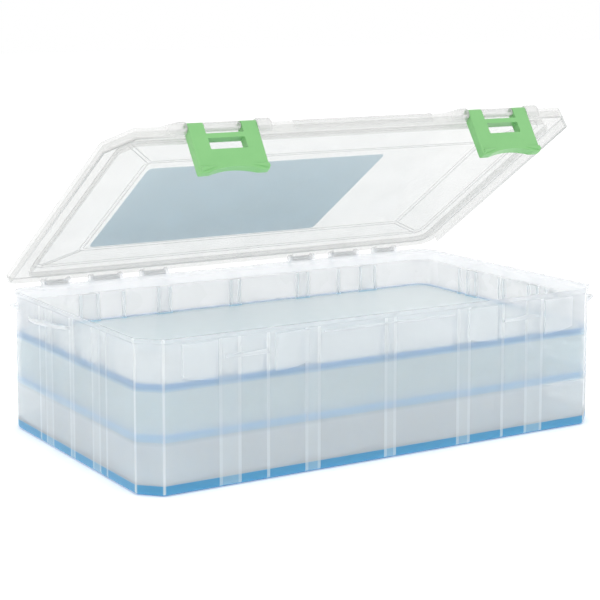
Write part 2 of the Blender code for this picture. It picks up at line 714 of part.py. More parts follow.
def main():
    clear_scene()
    parts = make_collection(COLLECTION)
    cutters = make_collection("cutters")
    frosted = make_material("base_box", (0.78, 0.83, 0.87), 0.35, 0.6)
    lower_frosted = make_material("lower_tray", (0.80, 0.85, 0.89), 0.35, 0.6)
    upper_frosted = make_material("upper_tray", (0.84, 0.87, 0.89), 0.35, 0.6)
    base_gel = make_material("base_gel_mat", (0.10, 0.40, 0.72), 0.15)
    lower_gel = make_material("lower_tray_gel_mat", (0.16, 0.45, 0.72), 0.15)
    upper_gel = make_material("upper_tray_gel_mat", (0.20, 0.50, 0.75), 0.15)
    clear = make_material("lid", (0.92, 0.92, 0.91), 0.12, 0.4)
    card = make_material("lid_label", (0.52, 0.63, 0.71), 0.6)
    left_green = make_material("latch_left", (0.20, 0.62, 0.20), 0.35)
    right_green = make_material("latch_right", (0.20, 0.62, 0.20), 0.35)

    build_base(parts, cutters, frosted)
    build_base_gel(parts, cutters, base_gel)
    lower_low = SHELF_HEIGHT + GAP
    upper_low = lower_low + LOWER_TRAY_HEIGHT + GAP
    build_tray("lower_tray", lower_low, LOWER_TRAY_HEIGHT, parts, cutters, lower_frosted, lower_gel)
    build_tray("upper_tray", upper_low, UPPER_TRAY_HEIGHT, parts, cutters, upper_frosted, upper_gel)

    hinge = make_empty("lid_hinge", parts, (0.0, HINGE_Y, HINGE_Z))
    build_lid(hinge, parts, cutters, clear)
    build_label(hinge, parts, card)
    build_latch("latch_left", -LATCH_X, hinge, parts, cutters, left_green)
    build_latch("latch_right", LATCH_X, hinge, parts, cutters, right_green)
    hinge.rotation_euler = (-LID_OPEN_ANGLE, 0.0, 0.0)
    bpy.context.view_layer.update()


main()
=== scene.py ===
"""Looks for the fishing tackle box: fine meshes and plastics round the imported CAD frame.

Metres, +Z up, in the frame's own axes.  Lid, label and latches are drawn with the lid
closed and then turned about its hinge to where the frame holds them.
"""
import json
import math

import bmesh
import bpy
from mathutils import Matrix, Vector


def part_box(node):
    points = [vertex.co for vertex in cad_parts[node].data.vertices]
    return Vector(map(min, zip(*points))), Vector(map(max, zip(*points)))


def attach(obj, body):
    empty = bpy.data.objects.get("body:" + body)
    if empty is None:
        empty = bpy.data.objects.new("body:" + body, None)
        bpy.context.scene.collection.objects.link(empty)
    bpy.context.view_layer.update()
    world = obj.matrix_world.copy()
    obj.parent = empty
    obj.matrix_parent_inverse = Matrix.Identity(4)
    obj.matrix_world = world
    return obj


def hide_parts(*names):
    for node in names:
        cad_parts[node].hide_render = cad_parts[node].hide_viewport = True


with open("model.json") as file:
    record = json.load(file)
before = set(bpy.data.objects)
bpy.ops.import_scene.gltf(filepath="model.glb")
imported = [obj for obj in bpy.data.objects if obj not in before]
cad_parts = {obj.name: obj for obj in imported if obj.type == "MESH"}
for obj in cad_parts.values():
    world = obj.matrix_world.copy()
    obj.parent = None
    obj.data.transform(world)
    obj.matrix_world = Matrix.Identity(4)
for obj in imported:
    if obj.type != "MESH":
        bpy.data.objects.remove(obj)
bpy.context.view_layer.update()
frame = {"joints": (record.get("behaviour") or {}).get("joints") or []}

GAP = 0.0003
SINK = 0.0008
CHAMFER_SHRINK = 0.586
TRACE = 1e-6

# Base box
BOX_WALL = 0.0018
FRONT_CHAMFER = 0.0128
CHAMFER_ROUND = 0.003
BACK_RADIUS = 0.014
FLOOR_ROUND = 0.0024
RIM_FLARE = 0.001
RIM_FLARE_RISE = 0.0012
RIM_BAND = 0.0035
RIM_ROUND = 0.0004
BOX_HALF_WIDTH = 0.174
BOX_HALF_DEPTH = 0.1025
BOX_HEIGHT = 0.0947

# Trays and gel mats
TRAY_CLEARANCE = 0.0008
TRAY_WALL = 0.0013
TRAY_FLOOR_ROUND = 0.0016
SHELF_HEIGHT = 0.0309
GEL_GAP = 0.0002
MENISCUS = 0.0008
MENISCUS_RISE = 0.0003
RIB_PEAK = 0.0009

# Vertical ribs inside the walls: (centre, half the distance between the two of a pair)
LONG_WALL_RIBS = ((0.0, 0.0035), (0.058, 0.0045), (0.090, 0.0), (0.1165, 0.0065))
SIDE_WALL_RIBS = ((0.0, 0.0025), (0.036, 0.005), (0.051, 0.0))
RIB_HALF_WIDTH = 0.001
RIB_FILLET = 0.0005
RIB_TIP = 0.0004
BASE_RIB_DEPTH = 0.003
TRAY_RIB_DEPTH = 0.0015

# Lid, closed
LID_HALF_WIDTH = 0.178
LID_FRONT_Y = -0.1065
LID_BACK_Y = 0.1033
LID_TOP_Z = 0.099
LID_SKIRT_Z = 0.0912
LID_BACK_SKIRT_Z = 0.0952
LID_BACK_CUT_Y = 0.090
LID_WALL = 0.0016
LID_CHAMFER = 0.016
LID_BACK_RADIUS = 0.012
LID_EDGE_ROUND = 0.0013
LID_BORDER = (0.0165, 0.0200, 0.0160)
LID_PANEL = (0.0480, 0.0535, 0.0330)
LID_PANEL_RISE = 0.003
TONGUE_INSET = 0.0125
TONGUE_WALL = 0.0012
TONGUE_Z = 0.0928
RIDGE_HEIGHT = 0.0003
RIDGE_WIDTH = 0.0009
LABEL_SIZE = (0.180, 0.1125, 0.0004)
LABEL_CENTRE = (-0.0352, 0.0125)
LABEL_CORNER = 0.003
LABEL_GRID = (60, 38)
LABEL_WAVE = 0.00005

# Hinge knuckles: (centre, width) on the right half
HINGE_KNUCKLES = ((0.062, 0.0165), (0.100, 0.020), (0.1375, 0.016))
HINGE_OUTER_RADIUS = 0.003
HINGE_EAR_WIDTH = 0.0022
EAR_SINK = 0.0007
EAR_ROOT_Z = (0.084, 0.0915)
KNUCKLE_WEB_Z = (0.0962, 0.0983)
PIN_RADIUS = 0.0015
BORE_RADIUS = 0.0018
BORE_SLOT = 0.0026

# Latches, from the axis of their pins
LATCH_WIDTH = 0.048
LATCH_LENGTH = 0.0348
LATCH_HALF_THICKNESS = 0.003
LATCH_NOTCH_WIDTH = 0.0262
LATCH_NOTCH_DEPTH = 0.0088
LATCH_WINDOW = (0.0255, 0.0076)
LATCH_WINDOW_DROP = 0.0158
LATCH_ARC_CHORD = 0.036
LATCH_ARC_RISE = 0.003
LATCH_SIDE_GAP = 0.0004
LATCH_TOP_ROUND = 0.98 * LATCH_HALF_THICKNESS
LATCH_SIDE_ROUND = 0.0018
LATCH_LOW_ROUND = 0.001
LATCH_CORNER_ROUND = 0.0006
LIP_PROUD = 0.0015
LUG_RADIUS = 0.0041
LUG_WIDTH = {-1: 0.0045, 1: 0.0095}
LUG_RAMP = {-1: 0.015, 1: 0.003}
LUG_ROOT_Z = (0.092, 0.0982)
PIN_SEAT = 0.002
BARREL_WEB_Z = (0.0976, 0.0988)
RAIL_HALF = 0.053
RAIL_REACH = 0.0012
RAIL_Z = ((0.0925, 0.0945), (0.0965, 0.0982))
CATCH_Z = 0.079
CATCH_HALF_WIDTH = 0.015
CATCH_REACH = 0.0018
HOOK_REACH = 0.0014

# Outside of the base
PAD_SPAN = (0.020, 0.044)
PAD_Z = (0.067, 0.0905)
PAD_THICKNESS = 0.001
PAD_SAG = 0.0035
FRONT_LINE_HALF = 0.050
FRONT_LINE_Z = 0.088
FINGER_LIP_HALF = 0.035
FINGER_LIP_REACH = 0.006
FINGER_LIP_Z = 0.0825
FINGER_LIP_THICKNESS = 0.002
FINGER_LIP_TILT = math.radians(4.0)
TAB_Y = 0.088
TAB_Z = (0.082, 0.087)
TAB_REACH = 0.005

# How thick the milky plastic reads, 0 to 1; on the base's front chamfer edges it is a painted highlight
PAINTED_EDGE_HIGHLIGHT = 0.8
THICK_LIP = 0.9
THICK_PAD = 0.25
THICK_OUTSIDE_RIB = 0.55
THICK_BETWEEN_RIBS = 0.45

# How strongly painted shade reads on the lid's edges, ridges and fittings, 0 to 1
PAINTED_SHADE_TOP_EDGE = 0.7
PAINTED_SHADE_SKIRT_EDGE = 0.8
PAINTED_SHADE_FITTINGS = 0.35

WHITE = (1.0, 1.0, 1.0)
# Painted light: the gels' blue light as seen through the milky walls, drawn onto the walls
PAINTED_GEL_LIGHT_BLUE = (0.10, 0.43, 0.84)
PAINTED_FLOOR_GEL_BLUE = (0.075, 0.32, 0.59)
PAINTED_FLOOR_GEL_HEIGHT = 0.0066
PAINTED_GEL_LIGHT_HAZE = 0.30
RIB_HAZE = 0.30
PAINTED_FLOOR_GEL_HAZE = 0.45
PAINTED_SHADE_HAZE = 0.45

# Camera
LENS = 102.09
SENSOR_WIDTH = 36.0
SHIFT_Y = -0.1485
CAMERA_PLACE = (-0.6025, -0.9733, 0.2999)
CAMERA_FORWARD = (0.5189, 0.8446, -0.1318)

joints = {joint["name"]: joint for joint in frame["joints"]}


def joint_place(name):
    return Vector(joints[name]["pos_m"])


LID_HINGE = joint_place("lid_hinge")
LID_OPEN_ANGLE = math.radians(-joints["lid_hinge"]["range_deg"][0])
LID_TURN = (Matrix.Translation(LID_HINGE) @ Matrix.Rotation(-LID_OPEN_ANGLE, 4, "X")
            @ Matrix.Translation(-LID_HINGE))
LATCH_PINS = {side: LID_TURN.inverted() @ joint_place(side + "_hinge")
              for side in ("latch_left", "latch_right")}


def single_ribs(layout):
    """(centre, half width) of every rib along a wall."""
    centres = {sign * middle + hand * half for middle, half in layout
               for sign in (-1, 1) for hand in (-1, 1)}
    return [(centre, RIB_HALF_WIDTH) for centre in sorted(centres)]


def whole_pairs(layout):
    """(centre, half width) of every rib or pair of ribs along a wall, taken as one block."""
    pairs = {(sign * middle, half) for middle, half in layout for sign in (-1, 1)}
    return [(centre, half + RIB_HALF_WIDTH) for centre, half in sorted(pairs)]


RIBS = (single_ribs(LONG_WALL_RIBS), single_ribs(SIDE_WALL_RIBS))
BLOCKS = (whole_pairs(LONG_WALL_RIBS), whole_pairs(SIDE_WALL_RIBS))


# -------- mesh helpers

def arc_between(corner, before, after, radius, steps):
    """Points that round a polygon's corner with an arc tangent to both its sides."""
    to_before = (before - corner).normalized()
    to_after = (after - corner).normalized()
    half = to_before.angle(to_after) / 2
    centre = corner + (to_before + to_after).normalized() * radius / math.sin(half)
    start = corner + to_before * radius / math.tan(half) - centre
    end = corner + to_after * radius / math.tan(half) - centre
    sweep = start.angle(end)
    points = []
    for step in range(steps + 1):
        share = step / steps
        blend = start * math.sin((1 - share) * sweep) + end * math.sin(share * sweep)
        points.append(centre + blend / math.sin(sweep))
    return points


def rib_profile(side, depth, scale):
    """One rib's (along, inward) points: a filleted foot, flat sides and a rounded tip."""
    rise = [(-side - RIB_FILLET, 0.0), (-side - 0.3 * RIB_FILLET, 0.3 * RIB_FILLET),
            (-side, RIB_FILLET), (-side, depth - RIB_TIP),
            (-side + 0.3 * RIB_TIP, depth - 0.3 * RIB_TIP), (-side + RIB_TIP, depth)]
    fall = [(-along, inward) for along, inward in reversed(rise)]
    return [(along, inward * scale) for along, inward in rise + fall]


def outline(half, front, back, chamfer, round_front, round_back, z,
            ribs=((), ()), rib_grow=0.0, rib_depth=TRAY_RIB_DEPTH, rib_scale=0.0, peak=0.0):
    """A level ring of points: chamfered at the front, rounded at the back, ribs pointing in."""
    corners = [Vector(point) for point in (
        (-half + chamfer, front), (half - chamfer, front), (half, front + chamfer),
        (half, back), (-half, back), (-half, front + chamfer))]
    radii = (round_front, round_front, round_front, round_back, round_back, round_front)
    steps = (3, 3, 3, 10, 10, 3)
    long_side, short_side = ribs
    sides = {
        0: (long_side, lambda s, n: (s, front + n)),
        2: (short_side, lambda s, n: (half - n, s)),
        3: (long_side, lambda s, n: (-s, back - n)),
        4: (short_side, lambda s, n: (-half + n, -s)),
    }
    points = []
    for index, corner in enumerate(corners):
        before = corners[index - 1]
        after = corners[(index + 1) % len(corners)]
        points += [(p.x, p.y, z) for p in arc_between(corner, before, after, radii[index], steps[index])]
        if index in sides:
            centres, place = sides[index]
            for centre, rib_half in centres:
                for along, inward in rib_profile(rib_half + rib_grow, rib_depth, rib_scale):
                    x, y = place(centre + along, inward)
                    lift = peak if inward > 0 and 0 < rib_scale else 0.0
                    points.append((x, y, z + lift))
    return points


def well_ring(inset, z, half=BOX_HALF_WIDTH, depth=BOX_HALF_DEPTH, chamfer=FRONT_CHAMFER,
              radius=BACK_RADIUS, ribs=RIBS, **rib):
    """The outline of the box or a tray, moved in by inset."""
    return outline(half - inset, -depth + inset, depth - inset, chamfer - CHAMFER_SHRINK * inset,
                   max(CHAMFER_ROUND - inset * 0.3, 0.0004), radius - inset, z,
                   ribs=ribs, **rib)


def loft(rings, closed=False):
    """Bands of faces between rings with equally many points, capped unless it closes on itself."""
    bm = bmesh.new()
    rows = [[bm.verts.new(point) for point in ring] for ring in rings]
    pairs = list(zip(rows, rows[1:])) + ([(rows[-1], rows[0])] if closed else [])
    for lower, upper in pairs:
        for index in range(len(lower)):
            follow = (index + 1) % len(lower)
            bm.faces.new((lower[index], lower[follow], upper[follow], upper[index]))
    if not closed:
        bm.faces.new(rows[0][::-1])
        bm.faces.new(rows[-1])
    bmesh.ops.recalc_face_normals(bm, faces=bm.faces)
    return bm


def add_box(bm, low, high):
    """A block between two opposite corners."""
    low, high = Vector(low), Vector(high)
    verts = bmesh.ops.create_cube(bm, size=1.0)["verts"]
    bmesh.ops.scale(bm, vec=high - low, verts=verts)
    bmesh.ops.translate(bm, vec=(low + high) / 2, verts=verts)


def add_cylinder(bm, radius, depth, segments, turn=Matrix()):
    """A capped cylinder on the origin, along Z before it is turned."""
    return bmesh.ops.create_cone(bm, cap_ends=True, segments=segments, radius1=radius,
                                 radius2=radius, depth=depth, matrix=turn)["verts"]


def add_rod(bm, radius, x_low, x_high, y, z):
    """A round bar along X."""
    verts = add_cylinder(bm, radius, x_high - x_low, 32, Matrix.Rotation(math.pi / 2, 4, "Y"))
    bmesh.ops.translate(bm, vec=((x_low + x_high) / 2, y, z), verts=verts)


def add_hull(bm, points):
    """The convex solid round some points."""
    verts = [bm.verts.new(point) for point in points]
    result = bmesh.ops.convex_hull(bm, input=verts)
    loose = [item for item in result["geom_interior"] if isinstance(item, bmesh.types.BMVert)]
    bmesh.ops.delete(bm, geom=loose, context="VERTS")


def circle_points(radius, x, y, z):
    """Points round a circle that faces along X."""
    turns = (2 * math.pi * step / 28 for step in range(28))
    return [(x, y + radius * math.cos(turn), z + radius * math.sin(turn)) for turn in turns]


def add_webbed_round(bm, ends, radius, axis, root):
    """A round along X between two ends, with a web to the (y, z) points of its root."""
    points = []
    for x in ends:
        points += circle_points(radius, x, axis.y, axis.z)
        points += [(x, y, z) for y, z in root]
    add_hull(bm, points)


def bevel(bm, edges, width, segments=2):
    """Round some edges."""
    bmesh.ops.bevel(bm, geom=edges, offset=width, segments=segments, profile=0.5, affect="EDGES")


def soften(bm, width):
    """Round every edge that turns by more than 35 degrees."""
    bmesh.ops.dissolve_limit(bm, angle_limit=math.radians(1), verts=bm.verts, edges=bm.edges)
    sharp = [edge for edge in bm.edges
             if len(edge.link_faces) == 2 and edge.calc_face_angle() > math.radians(35)]
    bmesh.ops.bevel(bm, geom=sharp, offset=width, segments=2, profile=0.5,
                    affect="EDGES", clamp_overlap=True)
    return bm


def to_object(name, bm):
    """A linked mesh object made from bm, which is freed."""
    mesh = bpy.data.meshes.new(name)
    bmesh.ops.recalc_face_normals(bm, faces=bm.faces)
    bm.to_mesh(mesh)
    bm.free()
    obj = bpy.data.objects.new(name, mesh)
    bpy.context.scene.collection.objects.link(obj)
    return obj


def sculpt(name, bm, steps=(), edge_round=0.0):
    """A mesh object of bm with each (operation, tool) Boolean applied to it, smooth shaded."""
    obj = to_object(name, bm)
    tools = []
    for operation, tool in steps:
        cutter = to_object(name + "_tool", tool)
        tools.append(cutter)
        modifier = obj.modifiers.new("cut", "BOOLEAN")
        modifier.operation = operation
        modifier.solver = "EXACT"
        modifier.object = cutter
    if edge_round:
        modifier = obj.modifiers.new("edges", "BEVEL")
        modifier.width = edge_round
        modifier.segments = 2
        modifier.limit_method = "ANGLE"
        modifier.angle_limit = math.radians(40)
    if obj.modifiers:
        bpy.context.view_layer.update()
        depsgraph = bpy.context.evaluated_depsgraph_get()
        mesh = bpy.data.meshes.new_from_object(obj.evaluated_get(depsgraph))
        obj.modifiers.clear()
        obj.data = mesh
    for cutter in tools:
        bpy.data.objects.remove(cutter)
    obj.data.name = name
    obj.data.shade_smooth()
    obj.data.set_sharp_from_angle(angle=math.radians(32))
    weighted = obj.modifiers.new("normals", "WEIGHTED_NORMAL")
    weighted.keep_sharp = True
    return obj


def mark(obj, layer, amount):
    """Store amount(point), 0 to 1, on every vertex for a material to read."""
    values = [amount(vert.co) for vert in obj.data.vertices]
    obj.data.attributes.new(layer, "FLOAT", "POINT").data.foreach_set("value", values)
    return obj


def rib_amount(half, depth, reach_in, low, high):
    """1 on the ribs and less between the two of a pair, 0 elsewhere on the walls."""
    slack = 0.0003

    def amount(point):
        if not low < point.z < high:
            return 0.0
        for along, across, singles, blocks in ((point.x, depth - abs(point.y), RIBS[0], BLOCKS[0]),
                                               (point.y, half - abs(point.x), RIBS[1], BLOCKS[1])):
            if -slack < across < reach_in + slack:
                if any(abs(along - centre) < width + 0.0001 for centre, width in singles):
                    return 1.0
                if any(abs(along - centre) < width + 0.0001 for centre, width in blocks):
                    return THICK_BETWEEN_RIBS
        return 0.0
    return amount


def place(obj, body, node, material, turned=False):
    """Put a finished piece on its body, in place of its CAD node."""
    if turned:
        obj.data.transform(LID_TURN)
    obj.data.materials.clear()
    obj.data.materials.append(material)
    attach(obj, body)
    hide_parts(node)
    return obj


# -------- base and trays

def quarter(radius, steps=4):
    """(in, up) steps round a quarter turn from flat to upright."""
    turns = (math.pi / 2 * step / steps for step in range(steps + 1))
    return [(radius * (1 - math.sin(turn)), radius * (1 - math.cos(turn))) for turn in turns]


def base_rings():
    """The tub's rings: up the outside, over the rim, down the inside and its ribs."""
    rib = {"rib_depth": BASE_RIB_DEPTH}
    rings = [well_ring(inset, up, **rib) for inset, up in quarter(FLOOR_ROUND)]
    flare_z = BOX_HEIGHT - RIM_BAND
    rings += [well_ring(inset, z, **rib) for inset, z in (
        (0.0, flare_z), (-0.3 * RIM_FLARE, flare_z + 0.4 * RIM_FLARE_RISE),
        (-RIM_FLARE, flare_z + RIM_FLARE_RISE), (-RIM_FLARE, BOX_HEIGHT - RIM_ROUND),
        (-RIM_FLARE + 0.3 * RIM_ROUND, BOX_HEIGHT - 0.3 * RIM_ROUND),
        (-RIM_FLARE + RIM_ROUND, BOX_HEIGHT),
        (BOX_WALL - RIM_FLARE - RIM_ROUND, BOX_HEIGHT),
        (BOX_WALL - RIM_FLARE - 0.3 * RIM_ROUND, BOX_HEIGHT - 0.3 * RIM_ROUND),
        (BOX_WALL - RIM_FLARE, BOX_HEIGHT - RIM_ROUND),
        (BOX_WALL - RIM_FLARE, flare_z + RIM_FLARE_RISE),
        (BOX_WALL, flare_z), (BOX_WALL, SHELF_HEIGHT))]
    rings += [well_ring(BOX_WALL, z, rib_scale=scale, **rib) for scale, z in (
        (0.85, SHELF_HEIGHT - 0.0001), (1.0, SHELF_HEIGHT - 0.0006), (1.0, BOX_WALL + 0.0002))]
    rings.append(well_ring(BOX_WALL + 0.0002, BOX_WALL, rib_scale=1.0, **rib))
    return rings


def hinge_ears():
    """A pair of ears on the back wall for each of the lid's knuckles."""
    bm = bmesh.new()
    root = [(BOX_HALF_DEPTH - EAR_SINK, z) for z in EAR_ROOT_Z]
    for centre, width in HINGE_KNUCKLES:
        for x in (-centre, centre):
            for hand in (-1, 1):
                inner = x + hand * (width / 2 + GAP)
                outer = inner + hand * HINGE_EAR_WIDTH
                add_webbed_round(bm, (inner, outer), HINGE_OUTER_RADIUS, LID_HINGE, root)
    return soften(bm, 0.0003)


def hinge_pins():
    """The pins that the ears carry."""
    bm = bmesh.new()
    for centre, width in HINGE_KNUCKLES:
        half = width / 2 + GAP + HINGE_EAR_WIDTH / 2
        for x in (-centre, centre):
            add_rod(bm, PIN_RADIUS, x - half, x + half, LID_HINGE.y, LID_HINGE.z)
    return bm


def guard_pads():
    """A raised pad on each side of each latch, with a lower edge that dips towards the latch."""
    bm = bmesh.new()
    steps = 12
    for pin in LATCH_PINS.values():
        for hand in (-1, 1):
            inner, outer = (pin.x + hand * span for span in PAD_SPAN)
            edge = [(inner, PAD_Z[1]), (outer, PAD_Z[1])]
            for step in range(steps + 1):
                share = step / steps
                dip = PAD_SAG * (1.0 - share) ** 2
                edge.append((outer + (inner - outer) * share, PAD_Z[0] + dip))
            face = bm.faces.new([bm.verts.new((x, -BOX_HALF_DEPTH + SINK, z)) for x, z in edge])
            front = bmesh.ops.extrude_face_region(bm, geom=[face])["geom"]
            moved = [item for item in front if isinstance(item, bmesh.types.BMVert)]
            bmesh.ops.translate(bm, verts=moved, vec=(0.0, -PAD_THICKNESS - SINK, 0.0))
            rim = [edge for edge in bm.edges if all(vert in moved for vert in edge.verts)]
            bmesh.ops.recalc_face_normals(bm, faces=bm.faces)
            bevel(bm, rim, 0.0004)
    return bm


def catches():
    """A ridge under each latch, flat below and sloped above, and the line between the latches."""
    bm = bmesh.new()
    root = -BOX_HALF_DEPTH + SINK
    tip = -BOX_HALF_DEPTH - CATCH_REACH
    for pin in LATCH_PINS.values():
        points = []
        for x in (pin.x - CATCH_HALF_WIDTH, pin.x + CATCH_HALF_WIDTH):
            points += [(x, root, CATCH_Z), (x, root, CATCH_Z + 0.0035)]
            points += [(x, tip, CATCH_Z), (x, tip, CATCH_Z + 0.0008)]
        add_hull(bm, points)
    add_box(bm, (-FRONT_LINE_HALF, -BOX_HALF_DEPTH - 0.0007, FRONT_LINE_Z - 0.0006),
            (FRONT_LINE_HALF, root, FRONT_LINE_Z + 0.0006))
    return soften(bm, 0.00022)


def finger_lips():
    """A thin crescent ledge on each side wall, to lift the box by."""
    bm = bmesh.new()
    radius = (FINGER_LIP_HALF ** 2 + FINGER_LIP_REACH ** 2) / (2 * FINGER_LIP_REACH)
    for side in (-1, 1):
        verts = add_cylinder(bm, radius, FINGER_LIP_THICKNESS, 180)
        bmesh.ops.rotate(bm, verts=verts, matrix=Matrix.Rotation(side * FINGER_LIP_TILT, 3, "X"))
        reach = side * (BOX_HALF_WIDTH + FINGER_LIP_REACH - radius)
        bmesh.ops.translate(bm, vec=(reach, -side * FINGER_LIP_HALF, FINGER_LIP_Z), verts=verts)
        faces = {face for vert in verts for face in vert.link_faces}
        edges = {edge for vert in verts for edge in vert.link_edges}
        cut = bmesh.ops.bisect_plane(
            bm, geom=list(verts) + list(edges) + list(faces),
            plane_co=(side * (BOX_HALF_WIDTH - SINK), 0, 0), plane_no=(-side, 0, 0), clear_outer=True)
        rim = [item for item in cut["geom_cut"] if isinstance(item, bmesh.types.BMEdge)]
        bmesh.ops.edgeloop_fill(bm, edges=rim)
    bmesh.ops.recalc_face_normals(bm, faces=bm.faces)
    return soften(bm, 0.0005)


def corner_tabs():
    """A small hook on each side wall, near the front on the right and the back on the left."""
    bm = bmesh.new()
    low, high = TAB_Z
    for side in (-1, 1):
        wall = side * (BOX_HALF_WIDTH - SINK)
        tip = side * (BOX_HALF_WIDTH + TAB_REACH)
        y = -side * TAB_Y
        points = [(wall, y + shift, z) for shift in (-0.0026, 0.0026) for z in (low, high)]
        points += [(tip, y + shift, z) for shift in (-0.0018, 0.0018) for z in (high - 0.002, high)]
        add_hull(bm, points)
    return soften(bm, 0.0004)


def build_base(material):
    """The tub with everything moulded on it."""
    steps = [("UNION", tool()) for tool in (
        guard_pads, catches, finger_lips, corner_tabs, hinge_ears, hinge_pins)]
    base = sculpt("tackle_box_base", loft(base_rings()), steps)
    inner = rib_amount(BOX_HALF_WIDTH - BOX_WALL, BOX_HALF_DEPTH - BOX_WALL, BASE_RIB_DEPTH,
                       BOX_WALL + 0.0001, SHELF_HEIGHT - 0.0003)
    outer = rib_amount(BOX_HALF_WIDTH, BOX_HALF_DEPTH, 0.0, 0.0005, BOX_HEIGHT - RIM_BAND + 0.0001)
    edges = [Vector(edge) for edge in ((BOX_HALF_WIDTH - FRONT_CHAMFER, BOX_HALF_DEPTH),
                                       (BOX_HALF_WIDTH, BOX_HALF_DEPTH - FRONT_CHAMFER))]

    def amount(point):
        across = Vector((abs(point.x), -point.y))
        # Painted highlight: the two edges of each front chamfer are drawn whiter and denser
        if any((across - edge).length < 0.0009 for edge in edges):
            return PAINTED_EDGE_HIGHLIGHT
        if across.x > BOX_HALF_WIDTH + 0.0015 and point.z < BOX_HEIGHT - RIM_BAND:
            return THICK_LIP
        if across.y > BOX_HALF_DEPTH + 0.0004 and PAD_Z[0] - 0.001 < point.z < PAD_Z[1] + 0.001:
            return THICK_PAD
        return max(inner(point), THICK_OUTSIDE_RIB * outer(point))

    return place(mark(base, "thick", amount), "base", "base_box", material)


def gel_rings(low, high, wall_ring, rib_depth, ribs):
    """A mat cut round the ribs, its top edge drawn up a little where it meets the walls."""
    notch = {"rib_scale": 1.0, "rib_depth": rib_depth + GEL_GAP, "ribs": ribs}
    peak = {"peak": RIB_PEAK}
    return [
        wall_ring(GEL_GAP + 0.0003, low, rib_grow=GEL_GAP + 0.0002, **notch),
        wall_ring(GEL_GAP, low + 0.0003, rib_grow=GEL_GAP, **notch),
        wall_ring(GEL_GAP, high, rib_grow=GEL_GAP, **notch, **peak),
        wall_ring(GEL_GAP + 0.0002, high + MENISCUS_RISE, rib_grow=GEL_GAP + 0.0001, **notch, **peak),
        wall_ring(GEL_GAP + 0.4 * MENISCUS, high + 0.3 * MENISCUS_RISE, rib_grow=GEL_GAP + 0.0003, **notch),
        wall_ring(GEL_GAP + MENISCUS, high, rib_grow=GEL_GAP + MENISCUS, **notch),
    ]


def build_base_gel(material):
    """The mat on the tub's floor."""
    low, high = (corner.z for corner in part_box("base_gel_mat"))

    def ring(inset, z, **rib):
        return well_ring(BOX_WALL + inset, z, **rib)

    obj = sculpt("base_gel", loft(gel_rings(low, high, ring, BASE_RIB_DEPTH, RIBS)))
    return place(obj, "base", "base_gel_mat", material)


def tray_ring(inset, z, **rib):
    """A tray's outline, moved in by inset."""
    reach = BOX_WALL + TRAY_CLEARANCE
    return well_ring(inset, z, half=BOX_HALF_WIDTH - reach, depth=BOX_HALF_DEPTH - reach,
                     chamfer=FRONT_CHAMFER - TRAY_CLEARANCE, radius=BACK_RADIUS - BOX_WALL, **rib)


def build_tray(name, material, mat_material):
    """A tray and the mat that rides in it."""
    low, high = (corner.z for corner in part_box(name))
    lip = 0.0003
    rings = [tray_ring(inset, low + up) for inset, up in quarter(TRAY_FLOOR_ROUND)]
    rings += [tray_ring(inset, z) for inset, z in (
        (0.0, high - lip), (0.3 * lip, high - 0.3 * lip), (lip, high),
        (TRAY_WALL - lip, high), (TRAY_WALL - 0.3 * lip, high - 0.3 * lip),
        (TRAY_WALL, high - lip), (TRAY_WALL, high - 0.001))]
    rings += [tray_ring(TRAY_WALL, z, rib_scale=scale) for scale, z in (
        (0.8, high - 0.0012), (1.0, high - 0.0018), (1.0, low + TRAY_WALL + 0.0002))]
    rings.append(tray_ring(TRAY_WALL + 0.0002, low + TRAY_WALL, rib_scale=1.0))
    reach = BOX_WALL + TRAY_CLEARANCE + TRAY_WALL
    ribs = rib_amount(BOX_HALF_WIDTH - reach, BOX_HALF_DEPTH - reach, TRAY_RIB_DEPTH,
                      low + TRAY_WALL + 0.0001, high - 0.0011)
    place(mark(sculpt(name + "_moulding", loft(rings)), "thick", ribs), name, name, material)

    gel_low, gel_high = (corner.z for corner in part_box(name + "_gel_mat"))

    def ring(inset, z, **rib):
        return tray_ring(TRAY_WALL + inset, z, **rib)

    gel = sculpt(name + "_gel", loft(gel_rings(gel_low, gel_high, ring, TRAY_RIB_DEPTH, BLOCKS)))
    place(gel, name, name + "_gel_mat", mat_material)


# -------- lid

def lid_ring(insets, z, chamfer=None, back_radius=None):
    """The lid's outline at height z, moved in at the sides, the front and the back."""
    side, front, back = insets
    chamfer = LID_CHAMFER - CHAMFER_SHRINK * side if chamfer is None else chamfer
    back_radius = LID_BACK_RADIUS - side if back_radius is None else back_radius
    return outline(LID_HALF_WIDTH - side, LID_FRONT_Y + front, LID_BACK_Y - back,
                   chamfer, min(0.0016, chamfer / 3), back_radius, z)


def even_ring(inset, z, **corners):
    """The lid's outline moved in by the same amount all round."""
    return lid_ring((inset, inset, inset), z, **corners)


def panel_ring(reach, z):
    """The raised panel's outline, grown by reach."""
    corner = max(0.0025 + reach, 0.0006)
    return lid_ring([inset - reach for inset in LID_PANEL], z, corner, corner)


def border_ring(reach, z):
    """The outline inside the lid's flat border, grown by reach."""
    return lid_ring([inset - reach for inset in LID_BORDER], z, 0.0078, 0.008)


def ridge(ring, reach, z):
    """Four rings of a fine raised line, its crest marked for painted shade."""
    step = RIDGE_WIDTH / 3
    return [(ring(reach, z), 0.0), (ring(reach + step, z + RIDGE_HEIGHT), 1.0),
            (ring(reach + 2 * step, z + RIDGE_HEIGHT), 1.0), (ring(reach + 3 * step, z), 0.0)]


